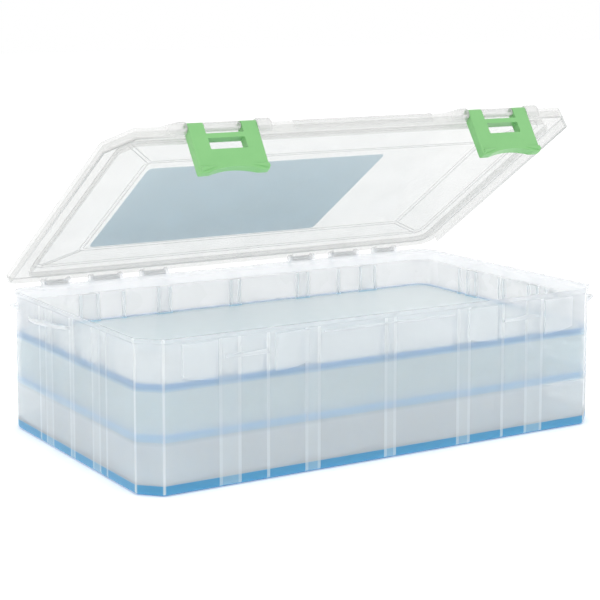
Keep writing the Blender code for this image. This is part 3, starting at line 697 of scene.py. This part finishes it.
def lid_rings():
    """(ring, painted shade mark) pairs over the lid's outside, round its skirt and back under it."""
    top, wall = LID_TOP_Z, LID_WALL
    panel_z = top + LID_PANEL_RISE
    marked = [(panel_ring(-0.004, panel_z), 0.0)]
    marked += ridge(panel_ring, -0.0012, panel_z) + ridge(panel_ring, 0.0016, panel_z - 0.0003)
    marked += [(border_ring(-0.0030, top + 0.0003), 0.0)]
    marked += ridge(border_ring, -0.0024, top + 0.0002) + ridge(border_ring, 0.0004, top)
    edge = [(up, inset) for inset, up in reversed(quarter(LID_EDGE_ROUND))]
    marked += [(even_ring(inset, top - up), PAINTED_SHADE_TOP_EDGE if 0 < index < 3 else 0.0)
               for index, (inset, up) in enumerate(edge)]
    soft = 0.0003
    under = top - wall
    marked += [(even_ring(inset, LID_SKIRT_Z + up), line) for inset, up, line in (
        (0.0, 4 * soft, 0.0), (0.0, soft, PAINTED_SHADE_SKIRT_EDGE), (soft, 0.0, PAINTED_SHADE_SKIRT_EDGE),
        (wall - soft, 0.0, PAINTED_SHADE_SKIRT_EDGE), (wall, soft, PAINTED_SHADE_SKIRT_EDGE), (wall, 4 * soft, 0.0))]
    marked += [(ring, 0.0) for ring in (
        even_ring(wall, under - 3 * soft), even_ring(wall + soft, under - soft),
        even_ring(wall + 3 * soft, under),
        border_ring(soft, under), border_ring(-0.0005, under + 0.0001),
        panel_ring(0.0006, panel_z - wall - 0.0002), panel_ring(0.0, panel_z - wall),
        panel_ring(-0.001, panel_z - wall))]
    return marked


def corner_ridges():
    """A pair of fine raised lines down the slope at each corner of the panel."""
    bm = bmesh.new()
    side, front, back = LID_PANEL
    out_side, out_front, out_back = LID_BORDER
    z_in, z_out = LID_TOP_Z + LID_PANEL_RISE, LID_TOP_Z
    for hand in (-1, 1):
        for y_in, y_out in ((LID_FRONT_Y + front, LID_FRONT_Y + out_front),
                            (LID_BACK_Y - back, LID_BACK_Y - out_back)):
            inner = Vector((hand * (LID_HALF_WIDTH - side - 0.0015), y_in, z_in))
            outer = Vector((hand * (LID_HALF_WIDTH - out_side - 0.0035), y_out, z_out))
            inner, outer = inner.lerp(outer, 0.06), inner.lerp(outer, 0.90)
            across = (outer - inner).cross(Vector((0.0, 0.0, 1.0))).normalized()
            for shift in (-0.0012, 0.0012):
                points = []
                for end in (inner, outer):
                    middle = end + across * shift
                    points += [middle + across * 0.00045 * turn - Vector((0, 0, 0.0006))
                               for turn in (-1, 1)]
                    points += [middle + across * 0.0002 * turn + Vector((0, 0, RIDGE_HEIGHT))
                               for turn in (-1, 1)]
                add_hull(bm, points)
    return bm


def lid_tongue():
    """The locating wall under the lid's border, a closed ring."""
    high = LID_TOP_Z - LID_WALL / 2
    soft = 0.0003
    sections = ((0.0, high), (0.0, TONGUE_Z + soft), (soft, TONGUE_Z), (TONGUE_WALL - soft, TONGUE_Z),
                (TONGUE_WALL, TONGUE_Z + soft), (TONGUE_WALL, high))
    return loft([even_ring(TONGUE_INSET + inset, z, chamfer=0.009 - CHAMFER_SHRINK * inset,
                           back_radius=0.008 - inset) for inset, z in sections], closed=True)


def lid_clearances():
    """The back skirt's lower half and a pocket in the front edge for each latch."""
    bm = bmesh.new()
    half = LID_HALF_WIDTH + 0.002
    add_box(bm, (-half, LID_BACK_CUT_Y, 0.085), (half, 0.112, LID_BACK_SKIRT_Z))
    for pin in LATCH_PINS.values():
        reach = LATCH_WIDTH / 2 + LATCH_SIDE_GAP
        add_box(bm, (pin.x - reach, LID_FRONT_Y - 0.004, 0.085),
                (pin.x + reach, pin.y + LATCH_HALF_THICKNESS + 0.0004, 0.105))
    return bm


def lid_knuckles():
    """Six knuckles on the back edge, each a round with a web to the lid."""
    bm = bmesh.new()
    root = [(LID_BACK_Y - SINK, z) for z in KNUCKLE_WEB_Z]
    for centre, width in HINGE_KNUCKLES:
        for x in (-centre, centre):
            ends = (x - width / 2, x + width / 2)
            add_webbed_round(bm, ends, HINGE_OUTER_RADIUS, LID_HINGE, root)
    return soften(bm, 0.0003)


def knuckle_bores():
    """The bores, and the mouths through which the knuckles snap onto their pins."""
    bores, mouths = bmesh.new(), bmesh.new()
    y, z = LID_HINGE.y, LID_HINGE.z
    for centre, width in HINGE_KNUCKLES:
        for x in (-centre, centre):
            half = width / 2 + 0.001
            add_rod(bores, BORE_RADIUS, x - half, x + half, y, z)
            add_box(mouths, (x - half, y - BORE_SLOT / 2, z - 0.005), (x + half, y + BORE_SLOT / 2, z))
    return bores, mouths


def latch_lugs():
    """Lugs that hold each latch's pin: a ramped one on its left, a broad one on its right."""
    bm = bmesh.new()
    root = [(LID_FRONT_Y + LID_WALL / 2, z) for z in LUG_ROOT_Z]
    deepest = LID_FRONT_Y + LID_WALL - GAP
    for pin in LATCH_PINS.values():
        for hand in (-1, 1):
            near = pin.x + hand * (LATCH_WIDTH / 2 + LATCH_SIDE_GAP)
            far = near + hand * LUG_WIDTH[hand]
            points = []
            for x in (near, far):
                points += [(x, min(y, deepest), z) for x, y, z in circle_points(LUG_RADIUS, x, pin.y, pin.z)]
                points += [(x, y, z) for y, z in root]
            points += [(far + hand * LUG_RAMP[hand], y, z) for y, z in root]
            add_hull(bm, points)
    return soften(bm, 0.0004)


def latch_barrels():
    """The round in each latch's notch, carried on a web from the lid's edge."""
    bm = bmesh.new()
    half = LATCH_NOTCH_WIDTH / 2 - LATCH_SIDE_GAP
    for pin in LATCH_PINS.values():
        root = [(pin.y + LATCH_HALF_THICKNESS + 0.0012, z) for z in BARREL_WEB_Z]
        add_webbed_round(bm, (pin.x - half, pin.x + half), LATCH_HALF_THICKNESS, pin, root)
    return soften(bm, 0.0003)


def latch_pin_rods():
    """The pins that the latches turn on, held by the lugs and the barrel."""
    bm = bmesh.new()
    half = LATCH_WIDTH / 2 + LATCH_SIDE_GAP + PIN_SEAT
    for pin in LATCH_PINS.values():
        add_rod(bm, PIN_RADIUS, pin.x - half, pin.x + half, pin.y, pin.z)
    return bm


def front_rail():
    """Two raised rails along the lid's front edge, between the latches."""
    bm = bmesh.new()
    for low, high in RAIL_Z:
        add_box(bm, (-RAIL_HALF, LID_FRONT_Y - RAIL_REACH, low),
                (RAIL_HALF, LID_FRONT_Y + LID_WALL / 2, high))
    return soften(bm, 0.0003)


def build_lid(material):
    """The lid with its hinge and latch parts, painted shade marked along its edges, ridges and fittings."""
    bores, mouths = knuckle_bores()
    steps = (("DIFFERENCE", lid_clearances()), ("UNION", lid_tongue()), ("UNION", lid_knuckles()),
             ("DIFFERENCE", bores), ("DIFFERENCE", mouths), ("UNION", latch_lugs()),
             ("UNION", latch_barrels()), ("UNION", latch_pin_rods()), ("UNION", front_rail()))

    def key(point):
        return tuple(round(value, 5) for value in point)

    marked = lid_rings()
    # The line layer holds painted shade for the lid's material
    lines = {key(point): line for ring, line in marked if line for point in ring}
    creases = corner_ridges()
    lines.update({key(vert.co): 1.0 for vert in creases.verts})
    lid = sculpt("lid_moulding", loft([ring for ring, line in marked]), steps + (("UNION", creases),))

    def amount(point):
        if point.y < LID_FRONT_Y - 0.0005:
            return PAINTED_SHADE_FITTINGS
        return lines.get(key(point), 0.0)

    mark(lid, "line", amount)
    return place(lid, "lid", "lid", material, turned=True)


def build_label(material):
    """A thin film with round corners on the raised panel, not quite flat."""
    width, depth, thickness = LABEL_SIZE
    middle = Vector(LABEL_CENTRE)
    straight_x, straight_y = width / 2 - LABEL_CORNER, depth / 2 - LABEL_CORNER
    low = LID_TOP_Z + LID_PANEL_RISE + GAP
    bm = bmesh.new()
    bmesh.ops.create_grid(bm, x_segments=LABEL_GRID[0], y_segments=LABEL_GRID[1], size=0.5)
    for vert in bm.verts:
        x, y = vert.co.x * width, vert.co.y * depth
        over_x = max(abs(x) - straight_x, 0.0)
        over_y = max(abs(y) - straight_y, 0.0)
        reach = math.hypot(over_x, over_y)
        if over_x and over_y and reach > LABEL_CORNER:
            x = math.copysign(straight_x + over_x * LABEL_CORNER / reach, x)
            y = math.copysign(straight_y + over_y * LABEL_CORNER / reach, y)
        wave = LABEL_WAVE * (math.sin(41 * x + 17 * y) + math.sin(63 * y - 29 * x + 1.3))
        vert.co = (middle.x + x, middle.y + y, low + 0.0001 + wave)
    top = bmesh.ops.extrude_face_region(bm, geom=bm.faces[:])["geom"]
    raised = [item for item in top if isinstance(item, bmesh.types.BMVert)]
    bmesh.ops.translate(bm, verts=raised, vec=(0.0, 0.0, thickness - 0.0002))
    return place(sculpt("label_card", bm), "lid", "lid_label", material, turned=True)


# -------- latches

def latch_blank():
    """A thick plate with round edges, hanging from its pin, before it is cut."""
    half, thick = LATCH_WIDTH / 2, LATCH_HALF_THICKNESS
    bottom = thick - LATCH_LENGTH
    bm = bmesh.new()
    add_box(bm, (-half, -thick, bottom), (half, thick, thick))

    def edges(test):
        return [edge for edge in bm.edges if test(*(vert.co for vert in edge.verts))]

    bevel(bm, edges(lambda a, b: min(a.z, b.z) > 0 and abs(a.y - b.y) < TRACE), LATCH_TOP_ROUND, 10)
    bevel(bm, edges(lambda a, b: abs(a.x - b.x) < TRACE and max(a.y, b.y) < -thick + TRACE),
          LATCH_SIDE_ROUND, 5)
    bevel(bm, edges(lambda a, b: max(a.z, b.z) < bottom + TRACE), LATCH_LOW_ROUND, 3)
    return bm


def latch_lips():
    """A raised lip on each lower corner for a fingertip, fading towards the middle."""
    bm = bmesh.new()
    front = -LATCH_HALF_THICKNESS
    bottom = LATCH_HALF_THICKNESS - LATCH_LENGTH
    outer, inner = LATCH_WIDTH / 2 - 0.0007, 0.009
    for side in (-1, 1):
        points = [(side * outer, front - LIP_PROUD, bottom + z) for z in (0.0008, 0.0032)]
        points += [(side * outer, front + 0.0015, bottom + z) for z in (0.0004, 0.0056)]
        points += [(side * inner, front + y, bottom + 0.0042) for y in (0.0001, 0.0015)]
        add_hull(bm, points)
    return soften(bm, 0.0004)


def latch_cuts():
    """The notch round the lid's barrel, the window and the hollow lower edge."""
    thick = LATCH_HALF_THICKNESS
    bm = bmesh.new()
    notch = LATCH_NOTCH_WIDTH / 2
    past = 0.01
    add_box(bm, (-notch, -past, thick - LATCH_NOTCH_DEPTH), (notch, past, past))
    width, tall = LATCH_WINDOW
    middle = thick - LATCH_WINDOW_DROP
    add_box(bm, (-width / 2, -past, middle - tall / 2), (width / 2, past, middle + tall / 2))
    through = [edge for edge in bm.edges if abs(edge.verts[0].co.y - edge.verts[1].co.y) > past]
    bevel(bm, through, LATCH_CORNER_ROUND, 3)
    chord = LATCH_ARC_CHORD / 2
    radius = (chord ** 2 + LATCH_ARC_RISE ** 2) / (2 * LATCH_ARC_RISE)
    centre = thick - LATCH_LENGTH + LATCH_ARC_RISE - radius
    verts = add_cylinder(bm, radius, 2 * past, 144, Matrix.Rotation(math.pi / 2, 4, "X"))
    bmesh.ops.translate(bm, vec=(0.0, 0.0, centre), verts=verts)
    return bm


def latch_bore():
    """The bore, and the mouth behind it through which the latch snaps onto its pin."""
    bore, mouth = bmesh.new(), bmesh.new()
    half = LATCH_WIDTH / 2 + 0.001
    add_rod(bore, BORE_RADIUS, -half, half, 0.0, 0.0)
    add_box(mouth, (-half, 0.0, -BORE_SLOT / 2), (half, 2 * LATCH_HALF_THICKNESS, BORE_SLOT / 2))
    return bore, mouth


def latch_hook(pin):
    """The lip inside the latch that pulls up under the catch."""
    top = CATCH_Z - 0.0004 - pin.z
    inner = LATCH_HALF_THICKNESS
    bm = bmesh.new()
    points = []
    for x in (-CATCH_HALF_WIDTH, CATCH_HALF_WIDTH):
        points += [(x, inner - 0.001, top), (x, inner - 0.001, top - 0.0045)]
        points += [(x, inner + HOOK_REACH, top), (x, inner + HOOK_REACH, top - 0.0008)]
    add_hull(bm, points)
    return bm


def build_latch(side, material):
    """One snap latch, hung on its pin."""
    pin = LATCH_PINS[side]
    bore, mouth = latch_bore()
    steps = (("UNION", latch_lips()), ("DIFFERENCE", latch_cuts()), ("DIFFERENCE", bore),
             ("DIFFERENCE", mouth), ("UNION", latch_hook(pin)))
    latch = sculpt(side + "_moulding", latch_blank(), steps, edge_round=0.00025)
    latch.data.transform(Matrix.Translation(pin))
    return place(latch, side, side, material, turned=True)


# -------- materials

def set_inputs(made, values):
    """Give a node's sockets constant values."""
    for socket, value in values.items():
        made.inputs[socket].default_value = value


def principled(name, colour, roughness, **others):
    """A Principled material; others are values for sockets with one-word names."""
    material = bpy.data.materials.new(name)
    material.use_nodes = True
    values = {"Base Color": (*colour, 1.0), "Roughness": roughness, "IOR": 1.49, **others}
    set_inputs(shader_of(material), values)
    return material


def shader_of(material):
    return material.node_tree.nodes["Principled BSDF"]


def node(material, kind, **settings):
    made = material.node_tree.nodes.new(kind)
    for name, value in settings.items():
        setattr(made, name, value)
    return made


def link(material, output, target):
    material.node_tree.links.new(output, target)


def feed(material, socket, source):
    """Drive one of the shader's sockets."""
    link(material, source, shader_of(material).inputs[socket])


def noise(material, scale, detail=3.0, roughness=0.5):
    """A noise texture on object coordinates, its factor spread round 0.5."""
    place_node = node(material, "ShaderNodeTexCoord")
    texture = node(material, "ShaderNodeTexNoise")
    set_inputs(texture, {"Scale": scale, "Detail": detail, "Roughness": roughness})
    link(material, place_node.outputs["Object"], texture.inputs["Vector"])
    return texture.outputs["Fac"]


def spread(material, source, low, high, start=0.3, end=0.7):
    """source mapped to run from low to high."""
    ramp = node(material, "ShaderNodeMapRange")
    set_inputs(ramp, {"From Min": start, "From Max": end, "To Min": low, "To Max": high})
    link(material, source, ramp.inputs["Value"])
    return ramp.outputs["Result"]


def blend_colours(material, factor, first, second):
    """A colour that runs from first to second with factor."""
    ramp = node(material, "ShaderNodeValToRGB")
    ramp.color_ramp.elements[0].color = (*first, 1.0)
    ramp.color_ramp.elements[1].color = (*second, 1.0)
    link(material, factor, ramp.inputs["Fac"])
    return ramp.outputs["Color"]


def combine(material, operation, first, second):
    """A maths node of first and second, where second is a socket or a number."""
    made = node(material, "ShaderNodeMath", operation=operation)
    link(material, first, made.inputs[0])
    if isinstance(second, float):
        made.inputs[1].default_value = second
    else:
        link(material, second, made.inputs[1])
    return made.outputs["Value"]


def with_share(material, total, source, share):
    """total plus a share of source."""
    return combine(material, "ADD", total, combine(material, "MULTIPLY", source, share))


def attribute(material, layer):
    """The amount that mark stored in a layer."""
    return node(material, "ShaderNodeAttribute", attribute_name=layer).outputs["Fac"]


def bumps(material, source, strength, distance):
    bump = node(material, "ShaderNodeBump")
    set_inputs(bump, {"Strength": strength, "Distance": distance})
    link(material, source, bump.inputs["Height"])
    feed(material, "Normal", bump.outputs["Normal"])


def height(material):
    """Height in the object's own axes."""
    place_node = node(material, "ShaderNodeTexCoord")
    split = node(material, "ShaderNodeSeparateXYZ")
    link(material, place_node.outputs["Object"], split.inputs["Vector"])
    return split.outputs["Z"]


def stripe(material, low, high, soft):
    """1 between two heights, 0 well away from them."""
    level = height(material)
    return combine(material, "MULTIPLY", spread(material, level, 0.0, 1.0, low - 0.0006, low),
                   spread(material, level, 1.0, 0.0, high, high + soft))


def flatness(material):
    """1 on level faces and 0 on upright ones."""
    geometry = node(material, "ShaderNodeNewGeometry")
    split = node(material, "ShaderNodeSeparateXYZ")
    upward = node(material, "ShaderNodeMath", operation="ABSOLUTE")
    link(material, geometry.outputs["Normal"], split.inputs["Vector"])
    link(material, split.outputs["Z"], upward.inputs[0])
    return upward.outputs["Value"]


def colour_mix(material, factor, colour, tint):
    """colour turned towards tint by factor; 6, 7 and 2 are a mix node's colour sockets."""
    mix = node(material, "ShaderNodeMix", data_type="RGBA")
    link(material, factor, mix.inputs["Factor"])
    link(material, colour, mix.inputs[6])
    mix.inputs[7].default_value = (*tint, 1.0)
    return mix.outputs[2]


def milky_plastic(name, body, thick_and_edge_highlight, alpha, roughness, gels, painted_gel_light, painted_blue_light_below=(), painted_floor_gel_height=None):
    """Cloudy polypropylene, with the blue light of the gel behind it painted on at that gel's heights at
    rest.

    gels holds the (low, high) heights of that gel; painted_blue_light_below holds (height, colour, extra
    alpha) for the wall below a height, where more lies behind it, painted with the bluish light of the gels.
    """
    material = principled(name, body, roughness)
    set_inputs(shader_of(material), {"Subsurface Weight": 1.0, "Subsurface Scale": 0.01,
                                     "Subsurface Radius": (1.0, 1.0, 1.0)})
    cloud = noise(material, 22.0)
    # The thick layer gives thicker plastic and, on the base's front chamfer edges, a painted highlight
    thick = attribute(material, "thick")
    colour = blend_colours(material, thick, body, thick_and_edge_highlight)
    bare = spread(material, thick, 1.0, 0.15, 0.0, 1.0)
    haze = spread(material, cloud, alpha - 0.02, alpha + 0.02, 0.0, 1.0)
    haze = with_share(material, haze, thick, RIB_HAZE)
    # Painted light: below each height the wall turns towards the bluish light the gels leave in the box
    for top, tint, more in painted_blue_light_below:
        below = spread(material, height(material), 1.0, 0.0, top - 0.001, top + 0.002)
        colour = colour_mix(material, combine(material, "MULTIPLY", below, bare), colour, tint)
        haze = with_share(material, haze, below, more)
    # Painted light: a band of the gel's blue light, as seen through the wall, at the gel's height
    for low, high in gels:
        band = combine(material, "MULTIPLY", stripe(material, low, high, 0.0022), bare)
        band = combine(material, "MULTIPLY", band, painted_gel_light)
        colour = colour_mix(material, band, colour, PAINTED_GEL_LIGHT_BLUE)
        haze = with_share(material, haze, band, PAINTED_GEL_LIGHT_HAZE)
    # Painted light: the floor gel's blue light seen through the foot of the wall, painted on up to a height
    if painted_floor_gel_height is not None:
        painted_floor_gel = spread(material, height(material), 1.0, 0.0, painted_floor_gel_height - 0.0004, painted_floor_gel_height + 0.0002)
        painted_floor_gel = combine(material, "MULTIPLY", painted_floor_gel, bare)
        colour = colour_mix(material, painted_floor_gel, colour, PAINTED_FLOOR_GEL_BLUE)
        haze = with_share(material, haze, painted_floor_gel, PAINTED_FLOOR_GEL_HAZE)
    feed(material, "Base Color", colour)
    feed(material, "Roughness", spread(material, cloud, roughness - 0.05, roughness + 0.08, 0.0, 1.0))
    feed(material, "Alpha", haze)
    bumps(material, cloud, 0.08, 0.0003)
    return material


def gel_material(name, side, face, face_alpha, ior=1.43):
    """Soft glossy gel: strong blue on its upright sides, pale on its level faces."""
    material = principled(name, face, 0.08, IOR=ior)
    level = flatness(material)
    feed(material, "Base Color", blend_colours(material, level, side, face))
    feed(material, "Alpha", spread(material, level, 1.0, face_alpha, 0.1, 0.9))
    ripple = noise(material, 60.0, 2.0)
    feed(material, "Roughness", spread(material, ripple, 0.05, 0.12))
    bumps(material, ripple, 0.08, 0.0003)
    return material


def clear_plastic():
    """Clear hard plastic as a thin haze, with painted shade along its edges, ridges and fittings: denser and
    darker there.
    """
    material = principled("clear_lid", (0.84, 0.84, 0.83), 0.12)
    smear = noise(material, 35.0, 4.0)
    lines = attribute(material, "line")
    feed(material, "Base Color", blend_colours(material, lines, (0.69, 0.69, 0.675), (0.38, 0.39, 0.385)))
    haze = spread(material, smear, 0.26, 0.30)
    feed(material, "Alpha", with_share(material, haze, lines, PAINTED_SHADE_HAZE))
    feed(material, "Roughness", spread(material, smear, 0.10, 0.18))
    bumps(material, smear, 0.08, 0.0003)
    return material


def card_material():
    """Pale blue film that lets some light through."""
    material = principled("pale_card", (0.42, 0.60, 0.72), 0.45, Alpha=0.74)
    cloud = noise(material, 14.0, 4.0, 0.55)
    feed(material, "Base Color", blend_colours(material, cloud, (0.62, 0.81, 0.92), (0.71, 0.88, 0.97)))
    bumps(material, cloud, 0.2, 0.0004)
    return material


def green_plastic(name, shift):
    """Opaque green with a fine moulded grain."""
    material = principled(name, (0.13, 0.46, 0.11), 0.32)
    cloud = noise(material, 60.0 + shift, 3.0)
    grain = noise(material, 1500.0, 2.0)
    feed(material, "Base Color", blend_colours(material, cloud, (0.20, 0.50, 0.18), (0.25, 0.57, 0.22)))
    feed(material, "Roughness", spread(material, cloud, 0.28, 0.4))
    bumps(material, grain, 0.12, 0.00008)
    return material


# -------- stage

def floor():
    bpy.ops.mesh.primitive_plane_add(size=12.0, location=(0.0, 0.0, -0.0002))
    plane = bpy.context.object
    plane.name = "floor"
    material = principled("floor_white", (0.93, 0.93, 0.93), 0.9)
    set_inputs(shader_of(material), {"Emission Color": (*WHITE, 1.0), "Emission Strength": 0.22})
    plane.data.materials.append(material)


def light(name, location, target, size, power):
    """A white panel of light that faces a target."""
    data = bpy.data.lights.new(name, "AREA")
    data.shape = "RECTANGLE"
    data.size, data.size_y = size
    data.energy = power
    data.color = WHITE
    lamp = bpy.data.objects.new(name, data)
    bpy.context.scene.collection.objects.link(lamp)
    lamp.location = location
    aim = Vector(target) - Vector(location)
    lamp.rotation_euler = aim.to_track_quat("-Z", "Y").to_euler()


def studio():
    """White all round, a soft key light and enough bounces for light to pass every wall."""
    scene = bpy.context.scene
    world = bpy.data.worlds.new("studio")
    scene.world = world
    world.use_nodes = True
    set_inputs(world.node_tree.nodes["Background"], {"Color": (*WHITE, 1.0), "Strength": 1.0})
    scene.view_settings.view_transform = "Standard"
    scene.cycles.max_bounces = 32
    scene.cycles.transmission_bounces = 32
    scene.cycles.transparent_max_bounces = 48
    scene.cycles.diffuse_bounces = 10
    scene.cycles.glossy_bounces = 8
    light("key", location=(-0.9, -1.2, 1.8), target=(0.0, 0.0, 0.05), size=(1.2, 1.2), power=6.0)


def camera():
    data = bpy.data.cameras.new("camera")
    data.sensor_width = SENSOR_WIDTH
    data.lens = LENS
    data.shift_y = SHIFT_Y
    cam = bpy.data.objects.new("camera", data)
    bpy.context.scene.collection.objects.link(cam)
    cam.location = CAMERA_PLACE
    cam.rotation_euler = Vector(CAMERA_FORWARD).to_track_quat("-Z", "Y").to_euler()
    bpy.context.scene.camera = cam


# -------- the box

LOWER_GEL, UPPER_GEL = (tuple(corner.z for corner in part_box(name + "_gel_mat"))
                        for name in ("lower_tray", "upper_tray"))

build_base(milky_plastic(
    "base_plastic", body=(0.61, 0.66, 0.71), thick_and_edge_highlight=(0.82, 0.85, 0.87), alpha=0.25, roughness=0.30,
    gels=(LOWER_GEL, UPPER_GEL), painted_gel_light=0.28, painted_floor_gel_height=PAINTED_FLOOR_GEL_HEIGHT,
    painted_blue_light_below=((UPPER_GEL[0], (0.80, 0.93, 1.0), 0.19), (SHELF_HEIGHT, (0.85, 0.96, 1.0), 0.12))))
build_base_gel(gel_material("base_gel", side=(0.05, 0.37, 0.64), face=(0.62, 0.88, 1.0), face_alpha=1.0))
# The lower tray's light-blue body colour is painted bluish light from the gels
build_tray(
    "lower_tray",
    milky_plastic("lower_tray_plastic", body=(0.80, 0.93, 1.0), thick_and_edge_highlight=(0.86, 0.90, 0.92),
                  alpha=0.28, roughness=0.28, gels=(LOWER_GEL,), painted_gel_light=1.0),
    gel_material("lower_gel", side=(0.10, 0.45, 0.80), face=(0.86, 0.97, 1.0), face_alpha=0.6))
build_tray(
    "upper_tray",
    milky_plastic("upper_tray_plastic", body=(0.88, 0.885, 0.87), thick_and_edge_highlight=(0.70, 0.77, 0.83),
                  alpha=0.22, roughness=0.26, gels=(UPPER_GEL,), painted_gel_light=0.65),
    gel_material("upper_gel", side=(0.50, 0.71, 0.86), face=(0.88, 0.96, 0.985), face_alpha=1.0, ior=1.65))
build_lid(clear_plastic())
build_label(card_material())
build_latch("latch_left", green_plastic("left_green", 0.0))
build_latch("latch_right", green_plastic("right_green", 7.0))
floor()
studio()
camera()
